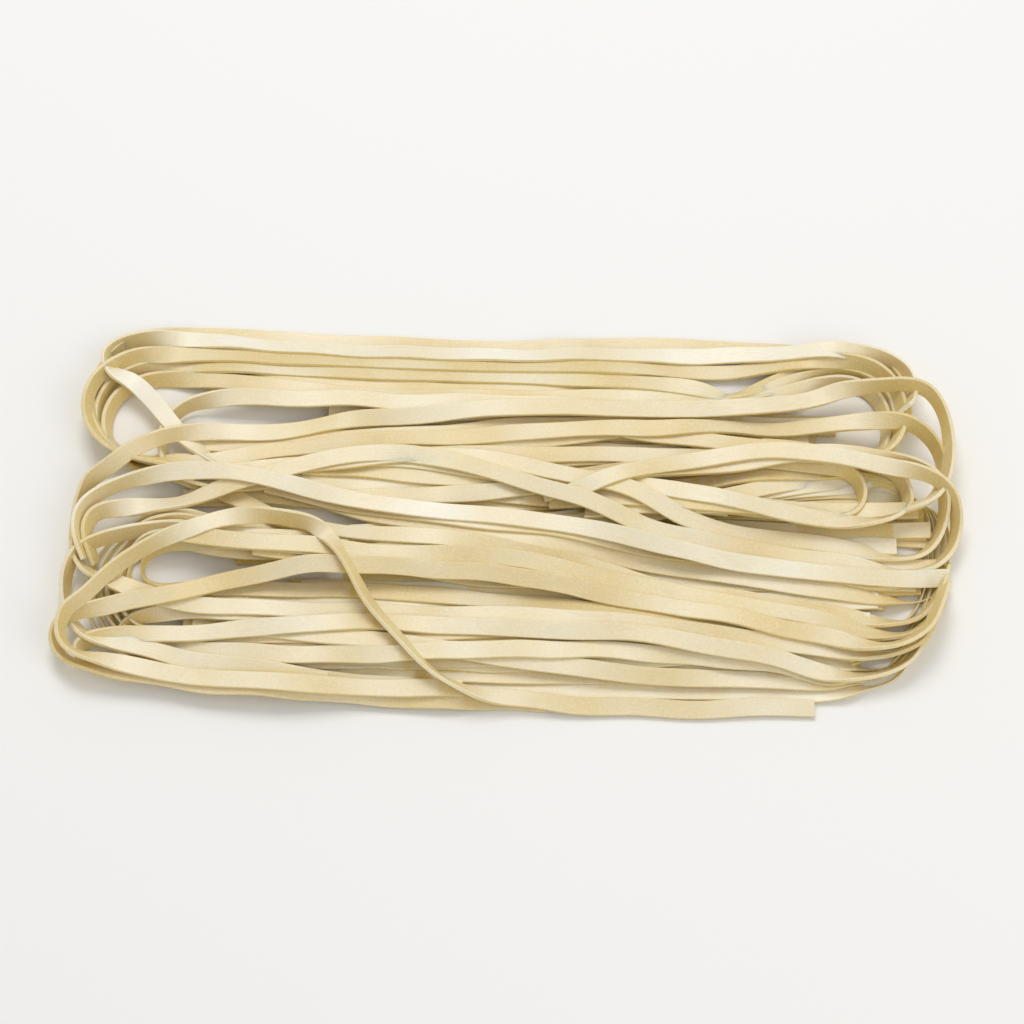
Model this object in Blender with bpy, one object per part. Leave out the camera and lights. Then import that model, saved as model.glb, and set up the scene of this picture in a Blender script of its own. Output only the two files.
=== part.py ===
# Hank of dried flat noodles: long ribbons folded into two overlapping coils, fused to a low bed.
# The construction is in millimetres and the mesh is written in metres, +Z up.
# The origin is on the surface that the hank lies on, below the middle of its box.
import math

import bmesh
import bpy
import numpy as np
from mathutils import Vector, kdtree

NODE = "noodle_hank"
MM = 0.001

# Ribbon, in millimetres
WIDTH = 5.0
THICK = 1.2
STEP = 1.0           # spacing of the samples along a ribbon

# How a ribbon follows its route, in millimetres and radians
BLUNT = 0.85         # below 1 makes the bends blunter than an ellipse
BEND_DEGREES = (60, 30, 0, -30, -60)   # where a bend gets its route points
KNOT_STEPS = 40      # curve samples between two route points, before they are spaced evenly
SOFT_ROUTE = 2.0     # smoothing length of the route
SOFT_HEADING = 2.5   # smoothing length of its heading
EDGE_ROLL = 66.0     # how far a ribbon turns on edge round a bend, in degrees
EDGE_GAIN = 50.0     # how much a curvature of 1/mm turns it, before its range is cut to 0 to 1
EDGE_FREE = 0.6      # share of that which a ribbon bends flat without turning
EDGE_SPREAD = 6.0    # length over which the turning spreads along a ribbon
EDGE_SWELL = 1.25    # makes up for what the spreading takes off its peak

# How a ribbon lies on the ones below, in millimetres and radians
CELL = 0.5           # spacing of the height map
MAP_X = 136.0        # half length of the height map
MAP_Y = 66.0         # half width of the height map
ACROSS = 11          # places looked at under half a ribbon
SAG = 0.016          # how sharply a ribbon bends down between two supports, 1/mm
PRESS = 0.15         # how far a ribbon presses into the one below
SINK = 3.5           # how far a ribbon on edge slips down between the others
SOFT_SINK = 0.8      # the same for a loop that lies on top of the others
DEEP_SINK = 6.0      # the same for a loop that slips in between them
LOOSE_SINK = 9.0     # the same for the loops at the bottom, which slip right down
SINK_SOON = 2.5      # a ribbon slips fully from this share of being on edge, 1/share
TILT_MOST = 0.4      # how far a flat ribbon leans on uneven ones
SOFT_TILT = 5.0      # smoothing length of the lean
SOFT_HEIGHT = 4.0    # smoothing length of the height
BEND_SETTLE = 12.0   # length over which a ribbon comes down after a bend

# The bed in place of the ribbons hidden at the bottom, in millimetres
BED_LENGTH = 104.0   # half length
BED_WIDTH = 46.0     # half width
BED_HEIGHT = 3.4
BED_EDGE = 0.08      # share of its size that slopes at its outline
BED_POWER = 4        # roundness of its outline, 2 being an ellipse
BED_SINK = 0.9       # how far the lowest ribbons reach into it
BED_DROP = 0.4       # how far it reaches down past the ribbons, so that it alone stands on the table
FOOT_CUT_X = 0.25    # share of its half length that its cut corners take
FOOT_CUT_Y = 0.45    # share of its half width that they take

# The solid ribbons: fat enough to fuse where they press, and with few rings
FAT = 0.3            # extra thickness, in millimetres
LOWEST = -0.15       # no ring point goes lower, in millimetres
RING_RUN = 40.0      # length that takes one ring on a straight run, in millimetres
RING_TURN = 0.7      # turn in radians that takes one ring
RING_ROLL = 1.3      # roll in radians that takes one ring
TOUCH = 0.002        # unjoined points closer than this are moved apart, in millimetres
NUDGE = 0.006        # how far each of them moves
FLAT_TURNS = (3.0, 2.0, 1.0, 0.5)   # turns in degrees below which faces merge: the first that works

# The near coil, in millimetres
ROWS = 5             # nested loops
END_X, END_Y = 98.0, -5.0      # middle of its rounded right end
END_REACH, END_HALF = 25.0, 45.0   # how far that end reaches in x, and from its middle down to the near side
END_POWER = 1.6      # below 2 makes that end more pointed than an ellipse
END_EASE = 0.12      # share of the reach over which a ribbon eases into it
END_EDGE = 0.9       # how far a ribbon stands on edge there


def near_outline(x, inset):
    """y of the near coil's rounded right end at an x, for a ribbon some way inside it."""
    t = (x-END_X)/(END_REACH-inset)
    return END_Y-(END_HALF-inset)*(1-t**END_POWER)**(1/END_POWER)


def round_the_end(y_from, inset, stop=0.97):
    """Leg along the near coil's right end, on edge, from where a run at y_from meets it."""
    meets = (1-((END_Y-y_from)/(END_HALF-inset))**END_POWER)**(1/END_POWER)
    x_from, x_to = END_X+(END_REACH-inset)*(meets+END_EASE), END_X+(END_REACH-inset)*stop
    ys = tuple(near_outline(x, inset) for x in np.linspace(x_from, x_to, 4))
    return (x_from, x_to, ys, -END_EDGE)


def strand_table():
    """Every strand from the bottom up: its name, how far it sinks on edge, its legs and its bends.

    A leg is (x from, x to, y values evenly spaced in x), and may end with its share on edge, which is
    negative where the right edge is up, as seen along the leg.
    A bare number is the x of a bend's tip.
    A strand named hidden carries the others, and the bed stands in for it.
    """
    strands = []
    for k in range(ROWS):
        back_run = (9+1.2*k, 7-0.5*k, 1.5-1.4*k, -4-1.8*k, -7-1.9*k)
        inner_run = (-6.8-1.8*k, -7.2-1.9*k, -6-2*k, -3-2*k)
        near_run = (-46+2.2*k, -50.5+3*k, -51+3.8*k, -51+4.2*k, -50+4.6*k, -49+5.2*k)
        name = f"row_{k}" if k < ROWS-3 else f"hidden_loop_{k}"
        strands.append(
            (name, LOOSE_SINK, (-54, -95, inner_run), -118.5+2.2*k, (-95, 93+4*k, near_run),
                round_the_end(-48+5.2*k, 1.4*k), END_X+END_REACH-1.4*k, (104-3*k, -46, back_run)))
    strands += [
        ("hidden_a", LOOSE_SINK, (-52, -95, (-12, -10)), -107.5,
            (-95, 103, (-29, -28.5, -29, -32, -34, -38, -42)), round_the_end(-41, 2, 0.9)),
        ("hidden_b", LOOSE_SINK, (-52, -95, (-14, -12)), -104,
            (-93, 106, (-25, -24.5, -25, -27, -30, -34, -38)), round_the_end(-37, 3.5, 0.9)),
        ("hidden_c", SINK, (60, -75, (17, 19, 17, 13, 9, 8))),
        ("hidden_d", LOOSE_SINK, (-75, 92, (-36.5, -39, -43, -46, -47, -47)), round_the_end(-46, 4, 0.9)),
        ("hidden_e", DEEP_SINK, (-60, 113, (4.5, -3, -8, -12, -16, -20, -22)),
            (119, 121.5, (-19, -14), -0.9)),
        ("hidden_f", DEEP_SINK, (-70, 110, (7, 0, -4, -7.5, -11, -14.5, -17.5)),
            (116.5, 119.5, (-15.5, -10), -0.9)),
        ("hidden_g", SINK, (-88, 50, (40, 39, 38.5, 39, 38))),
        ("hidden_h", SINK, (-92, 60, (19.5, 21, 24, 27.5, 29, 31))),
        ("hidden_i", LOOSE_SINK, (-72, 108, (-14.5, -17.5, -19, -21, -25, -30, -34)),
            round_the_end(-34, 2, 0.9)),
        ("hidden_j", LOOSE_SINK, (-60, -95, (-33, -32)), -109,
            (-95, 96, (-42, -44, -44, -42, -41, -41, -43, -46)), round_the_end(-46, 2, 0.8)),
        ("stub", SINK, (22, 11.5, (43, 56))),
        ("second_far", DEEP_SINK, (10, 98, (5, 9, 13, 16)), 108.5, (95, 62, (50, 46, 38)),
            (50, -98, (38, 36.5, 35.5, 36.5, 41)), -117, (-98, -65, (11, 4, -4)),
            (-50, 112, (-8, -10, -15, -22, -26, -28)), round_the_end(-27, 1, 0.97)),
        ("third_far", DEEP_SINK, (40, 98, (26.5, 22, 20)), 107.5, (92, 64, (48, 44, 37)),
            (50, -98, (40.5, 42.8, 43, 43.5, 44.5)), -119.5, (-98, 30, (14, 14, 17, 22, 27))),
        ("inner_far", SINK, (50, 98, (24, 18)), 106, (93, 66, (45.5, 35.5)),
            (50, -86, (34, 33.6, 34, 33.7, 33.5)), -100.5, (-90, 60, (7, 8, 7, 4, 2))),
        ("rim_far", SINK, (70, 98, (22, 20.5)), 112, (95, -100, (53.5, 56, 55.5, 54, 54, 54.8, 55)), -121,
            (-98, 75, (12.8, 14, 17, 18.5, 19, 18))),
        ("outer_far", SINK, (30, 98, (26.5, 22, 18)), 110.5,
            (92, -98, (50.5, 48, 47, 46.5, 47, 47.5, 47.5)), -122.5,
            (-98, 100, (11.5, 16.5, 21, 23.7, 26, 27, 28.5, 30)), 121.5, (112, 25, (5, 3.5, 2, 1))),
        ("top_far", SINK, (109.5, 110.5, (31.5, 33), -0.9), 113.5,
            (94, -100, (53, 53, 51.5, 50.3, 50.5, 51.5, 53.5)), -118.5, (-110.5, -92, (38, 18.5)),
            (-84, -72, (12.5, 8.5))),
        ("long_loop", SOFT_SINK, (20, 112, (0, 1, 2, 3, 4)), 123, (110, 95, (41.5, 41)),
            (84, -97, (36.8, 33.4, 33, 32.3, 30.5, 28, 23, 20.5)), (-104, -115, (17, 8.5), -0.6), -123.3,
            (-113, 104, (-23.5, -30.5, -31.5, -31, -31, -31.5, -33, -35.5, -38, -40)),
            round_the_end(-40, 0, 0.8)),
        ("left_arc", SINK, (-50, -97, (-15, -13.5, -8)), -124.5, (-112, -16, (-41, -46, -49, -51, -52))),
        ("flat_low", DEEP_SINK, (-50, -112, (-51, -51, -47.5)), -120,
            (-112, 96, (-39.5, -38.5, -35.5, -34.5, -35.5, -36.5, -41, -46)),
            round_the_end(-45, 0, 0.85)),
        ("mid_low", DEEP_SINK, (-93, 110, (-10.5, -14.2, -15, -15, -16.5, -21, -26, -30.2, -33)),
            round_the_end(-33, 0, 0.93)),
        ("tip_loop", SOFT_SINK, (10, -112, (-54.5, -55, -54.5, -53.5, -49.5)), -126,
            (-112, 105, (-32, -25.5, -20, -19.2, -20, -24, -29, -34, -38.5)), round_the_end(-38, 0, 0.9)),
        ("small_ring", SINK, (-60, 87, (12, 11.5, 10, 10.5, 13, 16, 17, 15)), 98.5,
            (92, 10, (2, 1.5, 2, 3, 4))),
        ("ring", SINK, (-48, 97, (3, 4, 6, 10, 14, 17, 17.5, 17)), 111.5,
            (100, -50, (-1, 1, 4, 7.5, 11, 14.5, 15))),
        ("ring_wide", SINK, (8, 100, (5.5, 9, 12.5, 15, 17, 17.5)), 121.2, (110, 60, (-9.5, -6, -5)),
            (48, -10, (-2.5, 4, 9, 13, 16)), (-25, -80, (16.5, 13, 9))),
        ("ring_outer", SINK, (14, 104, (4, 10, 15, 17.5, 17, 14)), 124.7, (110, 48, (-14, -11.5, -9.5, -8)),
            (38, -20, (-6, 1.5, 8.5, 15)), (-30, -45, (18, 15.5)),
            (-60, -110, (12, 6, 0, -1.5)), (-117.5, -119.5, (-3.5, -9), -0.95),
            (-117, -107, (-17, -26), -0.95)),
        ("wide_top", SINK, (-112, -120.5, (-25, -20.5, -14.5), 0.95), (-122, -120, (-7, -1), 0.95),
            (-110, 110, (5.5, 8.7, 6, 1.8, -1.5, -3.8, -6.7, -11, -13.8, -16.5, -16.7)),
            (121, 122, (-15, -15))),
        ("stray", SOFT_SINK, (-13, -112, (-52, -53, -53, -51.5, -48)), -124,
            (-120, -99, (-32, -20.5, -12.8), 0.85), (-89, -80, (-9.2, -6.5)),
            (-70, -58, (-5, -7), 0.3), (-53, -44, (-10.5, -22.5), 0.8),
            (-40, -22, (-29, -39.5, -48.5), 0.75), (-10, 84, (-53.5, -54.8, -55.3, -55, -54))),
    ]
    return strands


def route_points(parts):
    """Points along one strand, its share on edge at each, and which points are the middles of bends."""
    points, edges, bends = [], [], []
    for i, part in enumerate(parts):
        if isinstance(part, tuple):
            x_from, x_to, ys = part[:3]
            points += list(zip(np.linspace(x_from, x_to, len(ys)), ys))
            edges += [part[3] if len(part) > 3 else 0.0]*len(ys)
        else:
            x_in, y_in = points[-1]
            x_out, _, y_outs = parts[i+1][:3]
            for degrees in BEND_DEGREES:
                s, c = math.sin(math.radians(degrees)), math.cos(math.radians(degrees))
                x_root = (x_in+x_out)/2+(x_in-x_out)/2*s
                y = (y_in+y_outs[0])/2+(y_in-y_outs[0])/2*s
                points.append((x_root+(part-x_root)*c**BLUNT, y))
                edges.append(0.0)
            bends.append(len(points)-1-len(BEND_DEGREES)//2)
    return np.array(points, float), edges, bends


def smooth(values, length):
    """Gaussian smoothing along a strand that leaves its two ends in place."""
    v = np.asarray(values, float)
    n = min(len(v)-1, max(1, int(3*length/STEP)))
    kernel = np.exp(-0.5*(np.arange(-n, n+1)*STEP/length)**2)
    kernel /= kernel.sum()
    padded = np.concatenate([2*v[0]-v[n:0:-1], v, 2*v[-1]-v[-2:-n-2:-1]])
    return np.convolve(padded, kernel, "valid")


def curve_through(knots):
    """Catmull-Rom curve through the knots, sampled every STEP, and the sample number of each knot."""
    p = np.vstack([2*knots[0]-knots[1], knots, 2*knots[-1]-knots[-2]])
    pieces = []
    for i in range(1, len(p)-2):
        t = [0.0]
        for a, b in zip(p[i-1:i+2], p[i:i+3]):
            t.append(t[-1]+math.sqrt(max(1e-6, np.linalg.norm(b-a))))
        u = np.linspace(t[1], t[2], KNOT_STEPS, endpoint=False)[:, None]
        a1 = ((t[1]-u)*p[i-1]+(u-t[0])*p[i])/(t[1]-t[0])
        a2 = ((t[2]-u)*p[i]+(u-t[1])*p[i+1])/(t[2]-t[1])
        a3 = ((t[3]-u)*p[i+1]+(u-t[2])*p[i+2])/(t[3]-t[2])
        b1 = ((t[2]-u)*a1+(u-t[0])*a2)/(t[2]-t[0])
        b2 = ((t[3]-u)*a2+(u-t[1])*a3)/(t[3]-t[1])
        pieces.append(((t[2]-u)*b1+(u-t[1])*b2)/(t[2]-t[1]))
    q = np.vstack(pieces+[p[-2][None]])
    run = np.concatenate([[0], np.cumsum(np.linalg.norm(np.diff(q, axis=0), axis=1))])
    count = int(round(run[-1]/STEP))
    even = np.linspace(0, run[-1], count+1)
    xy = np.stack([np.interp(even, run, q[:, 0]), np.interp(even, run, q[:, 1])], 1)
    return xy, np.round(run[::KNOT_STEPS]/run[-1]*count).astype(int)


def drape(support):
    """Lowest line over the supports that nowhere bends down more sharply than SAG."""
    s = np.arange(len(support))*STEP
    dip = 0.5*SAG*(s-s.mean())**2
    hull = []
    for x, y in zip(s, support-dip):
        while len(hull) > 1:
            (x_1, y_1), (x_2, y_2) = hull[-2:]
            if (x_2-x_1)*(y-y_1) < (y_2-y_1)*(x-x_1):
                break
            hull.pop()
        hull.append((x, y))
    hull = np.array(hull)
    return np.interp(s, hull[:, 0], hull[:, 1])+dip


def bed(x, y):
    """Height of the bed at a place."""
    out = ((x/BED_LENGTH)**BED_POWER+(y/BED_WIDTH)**BED_POWER)**(1/BED_POWER)
    return BED_HEIGHT*np.clip((1-out)/BED_EDGE, 0, 1)


class Pile:
    """Height of everything laid so far, on a grid seen from above."""

    def __init__(self):
        x = np.arange(-MAP_X, MAP_X, CELL)+CELL/2
        y = np.arange(-MAP_Y, MAP_Y, CELL)+CELL/2
        self.height = bed(*np.meshgrid(x, y, indexing="ij"))

    def cells(self, at):
        i = np.clip(((at[..., 0]+MAP_X)/CELL).astype(int), 0, self.height.shape[0]-1)
        j = np.clip(((at[..., 1]+MAP_Y)/CELL).astype(int), 0, self.height.shape[1]-1)
        return i, j

    def highest(self, xy, side, low, high):
        """Highest place under each sample, between two distances sideways."""
        across = low[:, None]+(high-low)[:, None]*np.linspace(0, 1, ACROSS)
        return self.height[self.cells(xy[:, None, :]+across[..., None]*side[:, None, :])].max(1)

    def add(self, xy, side, roll, z):
        """Raises the map to the top of a ribbon."""
        whole = np.arange(len(xy))
        fine = np.arange(0, len(xy)-1, CELL/STEP)
        at = np.stack([np.interp(fine, whole, xy[:, 0]), np.interp(fine, whole, xy[:, 1])], 1)
        out = np.stack([np.interp(fine, whole, side[:, 0]), np.interp(fine, whole, side[:, 1])], 1)
        turn, mid = np.interp(fine, whole, roll), np.interp(fine, whole, z)
        reach = WIDTH/2*abs(np.cos(turn))+THICK/2*abs(np.sin(turn))
        across = reach[:, None]*np.linspace(-1, 1, 15)
        lean = np.clip(turn, -1.25, 1.25)
        face = mid[:, None]+across*np.tan(lean)[:, None]+(THICK/2/np.cos(lean))[:, None]
        ridge = mid+WIDTH/2*abs(np.sin(turn))+THICK/2*abs(np.cos(turn))
        top = np.minimum(face, ridge[:, None])-PRESS
        np.maximum.at(self.height, self.cells(at[:, None, :]+across[..., None]*out[:, None, :]), top)


def edge_share(xy, heading, marks, edges):
    """How far a ribbon stands on edge along its route, from 0 flat to 1, or to -1 with its right edge up."""
    turning = np.gradient(smooth(heading, SOFT_HEADING))/STEP
    share = np.clip(EDGE_GAIN*abs(turning)-EDGE_FREE, 0, 1)*-np.sign(turning)
    share = np.clip(EDGE_SWELL*smooth(share, EDGE_SPREAD), -1, 1)
    share = share*abs(share)*(3-2*abs(share))
    given = np.interp(np.arange(len(xy)), marks, edges)
    return smooth(np.where(abs(given) > abs(share), given, share), SOFT_HEIGHT)


def lay(pile, sink, parts):
    """Lays one strand on the pile: returns its points, heights, rolls and sideways directions."""
    knots, edges, bends = route_points(parts)
    xy, marks = curve_through(knots)
    xy = np.stack([smooth(xy[:, 0], SOFT_ROUTE), smooth(xy[:, 1], SOFT_ROUTE)], 1)
    ahead = np.gradient(xy, axis=0)
    ahead /= np.linalg.norm(ahead, axis=1)[:, None]
    side = np.stack([-ahead[:, 1], ahead[:, 0]], 1)
    edge = edge_share(xy, np.unwrap(np.arctan2(ahead[:, 1], ahead[:, 0])), marks, edges)
    roll = edge*math.radians(EDGE_ROLL)
    z = np.zeros(len(xy))
    cuts = [0]+[int(marks[b]) for b in bends]+[len(xy)-1]
    for a, b in zip(cuts[:-1], cuts[1:]):
        part = slice(a, b+1)
        c, s = np.cos(roll[part]), abs(np.sin(roll[part]))
        reach = WIDTH/2*c+THICK/2*s
        up = WIDTH/2*s+THICK/2*c
        left = pile.highest(xy[part], side[part], -0.1*reach, reach)
        right = pile.highest(xy[part], side[part], -reach, 0.1*reach)
        low = bed(xy[part, 0], xy[part, 1])
        both = np.maximum(left, right)*(1-c*c)
        slip = sink*np.clip(SINK_SOON*abs(edge[part]), 0, 1)
        left = drape(np.maximum(both+left*c*c-slip, low)+up)
        right = drape(np.maximum(both+right*c*c-slip, low)+up)
        tilt = np.clip(np.arctan2(left-right, WIDTH), -TILT_MOST, TILT_MOST)*c*c
        mid = np.maximum(left, right)-abs(np.tan(tilt))*WIDTH/2
        if a:
            step_down = max(0.0, z[a]-mid[0])
            mid = mid+step_down*np.exp(-(np.arange(len(mid))*STEP/BEND_SETTLE)**2)
        z[part] = mid
        roll[part] += smooth(tilt, SOFT_TILT)
        pile.add(xy[part], side[part], roll[part], z[part])
    return xy, smooth(z, SOFT_HEIGHT), roll, side


def ribbons():
    """Every ribbon: its name, the points along its middle, and its directions across and out of its face."""
    pile = Pile()
    for name, sink, *parts in strand_table():
        xy, z, roll, flat_side = lay(pile, sink, parts)
        points = np.column_stack([xy, z])
        ahead = np.gradient(points, axis=0)
        ahead /= np.linalg.norm(ahead, axis=1)[:, None]
        flat = np.column_stack([flat_side, np.zeros(len(xy))])
        up = np.cross(ahead, flat)
        up /= np.linalg.norm(up, axis=1)[:, None]
        c, s = np.cos(roll)[:, None], np.sin(roll)[:, None]
        side, normal = c*flat+s*up, c*up-s*flat
        yield name, points, side, normal


def ring_numbers(points, side):
    """Samples that become rings: close together where the ribbon turns or rolls."""
    ahead = np.gradient(points, axis=0)
    ahead /= np.linalg.norm(ahead, axis=1)[:, None]
    run = np.linalg.norm(np.diff(points, axis=0), axis=1)
    turn = np.linalg.norm(np.diff(ahead, axis=0), axis=1)
    roll = np.linalg.norm(np.diff(side, axis=0), axis=1)
    used = np.concatenate([[0], np.cumsum(run/RING_RUN+turn/RING_TURN+roll/RING_ROLL)])
    wanted = np.linspace(0, used[-1], max(2, math.ceil(used[-1]))+1)
    return np.unique(np.abs(used[:, None]-wanted[None, :]).argmin(axis=0))


def mesh_of(bm, name):
    """Turns a closed bmesh into a mesh of triangles."""
    bmesh.ops.recalc_face_normals(bm, faces=bm.faces)
    bmesh.ops.triangulate(bm, faces=bm.faces)
    mesh = bpy.data.meshes.new(name)
    bm.to_mesh(mesh)
    bm.free()
    return mesh


def add_ribbon(name, points, side, normal, group):
    """One ribbon as a closed tube of rectangular rings."""
    bm = bmesh.new()
    rings = []
    for i in ring_numbers(points, side):
        ring = []
        for u, v in ((-1, -1), (1, -1), (1, 1), (-1, 1)):
            at = points[i]+u*WIDTH/2*side[i]+v*(THICK+FAT)/2*normal[i]
            at[2] = max(at[2], LOWEST)
            ring.append(bm.verts.new(at*MM))
        rings.append(ring)
    for one, two in zip(rings[:-1], rings[1:]):
        for k in range(4):
            bm.faces.new((one[k], two[k], two[(k+1) % 4], one[(k+1) % 4]))
    bm.faces.new(rings[0])
    bm.faces.new(rings[-1][::-1])
    group.objects.link(bpy.data.objects.new(name, mesh_of(bm, name)))


def make_bed():
    """Low block with cut corners whose rim slopes."""
    corners = []
    for x, y in ((1, 1-FOOT_CUT_Y), (1-FOOT_CUT_X, 1)):
        corners += [(x, y), (-x, y), (-x, -y), (x, -y)]
    corners.sort(key=lambda corner: math.atan2(corner[1], corner[0]))
    bm = bmesh.new()
    low, high = [], []
    for x, y in corners:
        low.append(bm.verts.new((BED_LENGTH*x*MM, BED_WIDTH*y*MM, -BED_DROP*MM)))
        shrink = (1-BED_EDGE)*MM
        high.append(bm.verts.new((BED_LENGTH*x*shrink, BED_WIDTH*y*shrink, (BED_HEIGHT+BED_SINK)*MM)))
    for k in range(len(corners)):
        after = (k+1) % len(corners)
        bm.faces.new((low[k], low[after], high[after], high[k]))
    bm.faces.new(low[::-1])
    bm.faces.new(high)
    block = bpy.data.objects.new(NODE, mesh_of(bm, NODE))
    bpy.context.scene.collection.objects.link(block)
    return block


def fuse(target, group):
    """Joins the ribbons to the bed and removes their objects."""
    union = target.modifiers.new("union", "BOOLEAN")
    union.operation = "UNION"
    union.operand_type = "COLLECTION"
    union.collection = group
    # The exact solver leaves open edges where many ribbons cross at once, and this one doesn't
    union.solver = "MANIFOLD"
    depsgraph = bpy.context.evaluated_depsgraph_get()
    joined = bpy.data.meshes.new_from_object(target.evaluated_get(depsgraph))
    target.modifiers.remove(union)
    target.data = joined
    for piece in list(group.objects):
        bpy.data.objects.remove(piece)
    bpy.data.collections.remove(group)


def drop_folds(bm):
    """Deletes pairs of triangles that lie back to back on the same three points."""
    while True:
        seen, folded = {}, set()
        for face in bm.faces:
            key = frozenset(vert.index for vert in face.verts)
            if key in seen:
                folded.update((face, seen[key]))
            seen[key] = face
        if not folded:
            return
        bmesh.ops.delete(bm, geom=list(folded), context="FACES_ONLY")
        bmesh.ops.delete(bm, geom=[e for e in bm.edges if not e.link_faces], context="EDGES")
        bmesh.ops.delete(bm, geom=[v for v in bm.verts if not v.link_faces], context="VERTS")
        bm.verts.index_update()


def part_touching(bm):
    """Moves points that lie on each other without being joined a hair apart, each towards its own faces."""
    tree = kdtree.KDTree(len(bm.verts))
    for vert in bm.verts:
        tree.insert(vert.co, vert.index)
    tree.balance()
    moves = []
    for vert in bm.verts:
        if len(tree.find_range(vert.co, TOUCH*MM)) > 1:
            middle = sum((e.other_vert(vert).co for e in vert.link_edges), Vector())/len(vert.link_edges)
            moves.append((vert, (middle-vert.co).normalized()*NUDGE*MM))
    for vert, move in moves:
        vert.co += move


def flattened(source, angle):
    """A copy of the mesh whose nearly flat neighbours are merged, without its folds."""
    bm = bmesh.new()
    bm.from_mesh(source)
    bmesh.ops.triangulate(bm, faces=bm.faces)
    drop_folds(bm)
    bmesh.ops.dissolve_limit(bm, angle_limit=math.radians(angle), verts=bm.verts, edges=bm.edges)
    bmesh.ops.triangulate(bm, faces=bm.faces)
    bm.verts.index_update()
    drop_folds(bm)
    return bm


def shells_of(bm):
    """Groups of faces joined across ordinary edges, the largest last."""
    left = set(bm.faces)
    shells = []
    while left:
        shell, front = [], [left.pop()]
        while front:
            face = front.pop()
            shell.append(face)
            for edge in face.edges:
                if len(edge.link_faces) == 2:
                    new = [other for other in edge.link_faces if other in left]
                    left.difference_update(new)
                    front += new
        shells.append(shell)
    return sorted(shells, key=len)


def clean(target):
    """Merges flat faces, fills what fusing sealed, drops loose scraps, and puts the origin in place."""
    for angle in FLAT_TURNS:
        bm = flattened(target.data, angle)
        for shell in shells_of(bm)[:-1]:
            bmesh.ops.delete(bm, geom=shell, context="FACES")
        if all(len(edge.link_faces) == 2 for edge in bm.edges):
            break
        bm.free()
    bm.verts.index_update()
    part_touching(bm)
    low = [min(v.co[k] for v in bm.verts) for k in range(3)]
    high = [max(v.co[k] for v in bm.verts) for k in range(3)]
    bmesh.ops.translate(bm, verts=bm.verts, vec=(-(low[0]+high[0])/2, -(low[1]+high[1])/2, -low[2]))
    bm.to_mesh(target.data)
    print(NODE, len(bm.faces), "triangles, box in mm",
          [round((b-a)/MM, 1) for a, b in zip(low, high)], "from", [round(a/MM, 2) for a in low])
    bm.free()


def noodle_material():
    material = bpy.data.materials.new("dried noodle")
    material.use_nodes = True
    shader = material.node_tree.nodes["Principled BSDF"]
    shader.inputs["Base Color"].default_value = (0.82, 0.73, 0.50, 1.0)
    shader.inputs["Roughness"].default_value = 0.5
    shader.inputs["Metallic"].default_value = 0.0
    return material


def main():
    for old in list(bpy.data.objects):
        bpy.data.objects.remove(old)
    group = bpy.data.collections.new("ribbons")
    bpy.context.scene.collection.children.link(group)
    for name, points, side, normal in ribbons():
        if not name.startswith("hidden"):
            add_ribbon(name, points, side, normal, group)
    hank = make_bed()
    fuse(hank, group)
    clean(hank)
    hank.data.materials.clear()
    hank.data.materials.append(noodle_material())


main()
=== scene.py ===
# %% [markdown]
# # A hank of dried flat noodles
# Fresh noodles are cut into long ribbons, folded back and forth over a tray and left to dry. Dried, the
# ribbons keep the shape in which they lay: flat where they run straight, on edge where they turn back.
# This script dresses a plain solid model of such a hank, which is loaded first and never moved. Sizes in
# the script are in millimetres and become metres where a mesh is written.

# %% Load the solid model
import math

import bpy
import numpy as np
from mathutils import Matrix, Vector


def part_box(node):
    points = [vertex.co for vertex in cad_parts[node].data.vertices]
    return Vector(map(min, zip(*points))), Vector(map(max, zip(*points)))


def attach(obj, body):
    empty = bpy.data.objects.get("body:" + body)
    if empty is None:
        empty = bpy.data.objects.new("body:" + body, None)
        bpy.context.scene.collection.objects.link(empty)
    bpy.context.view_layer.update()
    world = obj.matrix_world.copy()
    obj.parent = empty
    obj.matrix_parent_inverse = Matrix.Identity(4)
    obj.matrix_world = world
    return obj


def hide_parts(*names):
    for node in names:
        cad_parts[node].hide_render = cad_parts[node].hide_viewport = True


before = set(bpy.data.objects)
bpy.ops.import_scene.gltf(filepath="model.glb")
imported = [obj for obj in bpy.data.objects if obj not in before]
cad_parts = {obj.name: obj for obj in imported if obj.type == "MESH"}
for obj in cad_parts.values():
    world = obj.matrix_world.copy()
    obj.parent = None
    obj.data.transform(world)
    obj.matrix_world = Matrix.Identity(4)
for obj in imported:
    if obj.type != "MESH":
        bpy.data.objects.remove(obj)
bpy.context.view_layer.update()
MM = 0.001
NODE = "noodle_hank"

# %% [markdown]
# ## The ribbon
# A ribbon is 5 mm wide and 1.2 mm thick. Every ribbon of the hank is the same, so these few sizes
# drive the whole model, together with how stiffly a ribbon bends and how far it presses into others.

# %% Ribbon sizes
WIDTH = 5.0
THICK = 1.2
STEP = 1.0           # spacing of the samples along a ribbon
BLUNT = 0.85         # below 1 makes the bends blunter than an ellipse
BEND_DEGREES = (60, 30, 0, -30, -60)   # where a bend gets its route points
EDGE_ROLL = 66.0     # how far a ribbon turns on edge round a bend, in degrees
SAG = 0.016          # how sharply a ribbon bends down between two supports, 1/mm
PRESS = 0.15         # how far a ribbon presses into the one below
SINK = 3.5           # how far a ribbon on edge slips down between the others
SOFT_SINK = 0.8      # the same for a loop that lies on top of the others
DEEP_SINK = 6.0      # the same for a loop that slips in between them
LOOSE_SINK = 9.0     # the same for the loops at the bottom, which slip right down
ROWS = 5             # nested loops of the near coil
HIDDEN_ROWS = 3      # how many of them are hidden, the innermost ones
END_X, END_Y = 98.0, -5.0      # middle of the near coil's rounded right end
END_REACH, END_HALF = 25.0, 45.0   # how far it reaches in x, and from its middle down to the near side
END_POWER = 1.6      # below 2 makes that end more pointed than an ellipse
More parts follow.
